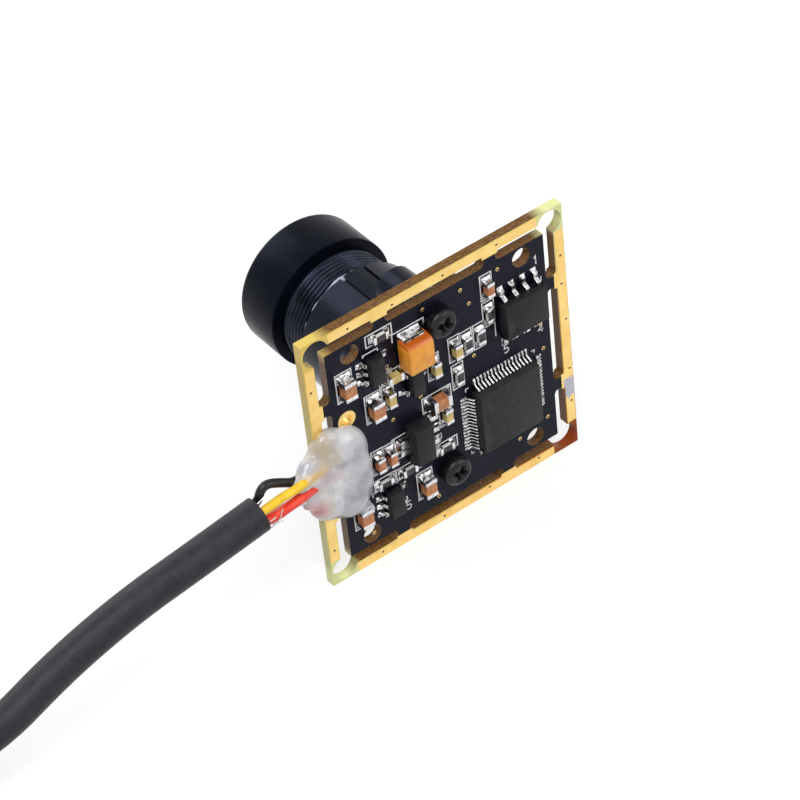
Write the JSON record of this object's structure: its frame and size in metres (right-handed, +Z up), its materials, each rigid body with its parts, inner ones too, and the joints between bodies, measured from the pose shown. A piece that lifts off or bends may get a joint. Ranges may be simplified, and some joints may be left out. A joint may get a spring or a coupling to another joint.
{
  "type": "board camera module",
  "caption": "Small square camera board with break-away gold edge rails, a screw-in lens in a moulded holder, chips on the back, and a glued-on cable that ends in a flat plug.",
  "frame": {"origin": "centre of the four mounting holes, on the component face of the board", "axes": "+Y out of the component face, away from the lens; +Z up the board; +X along the board towards the cable"},
  "size_m": [0.1595, 0.0373, 0.029],
  "materials": {
    "board_mask": "dark navy solder mask over glass fibre board, satin",
    "gold_plating": "gold-plated copper, soft gloss",
    "holder_moulding": "black moulded plastic, satin",
    "lens_black": "black anodised, satin",
    "lens_glass": "coated optical glass",
    "filter_glass": "flat coated glass",
    "lock_glue": "whitish adhesive",
    "black_steel": "black oxide steel",
    "sensor_ceramic": "dark ceramic package",
    "chip_plastic": "dark grey moulding compound, fine grain",
    "lead_metal": "tin-plated, bright",
    "tantalum_case": "orange moulding with a darker polarity band",
    "ceramic_brown": "brown ceramic with silvery ends",
    "ceramic_tan": "tan ceramic with silvery ends",
    "resistor_black": "black coating with silvery ends",
    "solder": "bright reflowed solder",
    "clear_glue": "milky hot-melt glue",
    "core_black": "soft black insulation",
    "core_yellow": "soft yellow insulation",
    "core_red": "soft red insulation",
    "core_white": "soft white insulation",
    "cable_sheath": "charcoal matte sheath",
    "tie_black": "black tie",
    "plug_black": "black moulded grip",
    "plug_steel": "nickel-plated steel",
    "tongue_white": "white plastic with gilt contacts"
  },
  "bodies": {
    "root": {"black_core": "core_black", "cable": "cable_sheath", "cable_glue": "clear_glue", "cable_hank": "cable_sheath", "cable_tie": "tie_black", "capacitor_01": "ceramic_brown", "capacitor_02": "ceramic_brown", "capacitor_03": "ceramic_brown", "capacitor_04": "ceramic_brown", "capacitor_05": "ceramic_brown", "capacitor_06": "ceramic_tan", "capacitor_07": "ceramic_tan", "capacitor_08": "ceramic_tan", "capacitor_09": "ceramic_tan", "capacitor_10": "ceramic_tan", "capacitor_11": "ceramic_tan", "capacitor_12": "ceramic_tan", "capacitor_13": "ceramic_tan", "circuit_board": "board_mask", "clock_switch": "chip_plastic", "clock_switch_leads": "lead_metal", "edge_rails": "gold_plating", "front_lens": "lens_glass", "holder_screws": "black_steel", "image_sensor": "sensor_ceramic", "infrared_filter": "filter_glass", "lens_barrel": "lens_black", "lens_holder": "holder_moulding", "lens_lock_glue": "lock_glue", "lens_retaining_ring": "lens_black", "lower_regulator": "chip_plastic", "lower_regulator_leads": "lead_metal", "memory_chip": "chip_plastic", "memory_chip_leads": "lead_metal", "plated_eyelet": "gold_plating", "plug_grip": "plug_black", "plug_shell": "plug_steel", "plug_tongue": "tongue_white", "power_regulator": "chip_plastic", "power_regulator_leads": "lead_metal", "processor": "chip_plastic", "processor_leads": "lead_metal", "rear_lens": "lens_glass", "red_core": "core_red", "resistor_01": "resistor_black", "resistor_02": "resistor_black", "resistor_03": "resistor_black", "resistor_04": "resistor_black", "resistor_05": "resistor_black", "resistor_06": "resistor_black", "resistor_07": "resistor_black", "resistor_08": "resistor_black", "sensor_glass": "filter_glass", "solder_joints": "solder", "tantalum_capacitor": "tantalum_case", "tantalum_terminals": "lead_metal", "upper_regulator": "chip_plastic", "upper_regulator_leads": "lead_metal", "white_core": "core_white", "yellow_core": "core_yellow"}
  },
  "joints": []
}
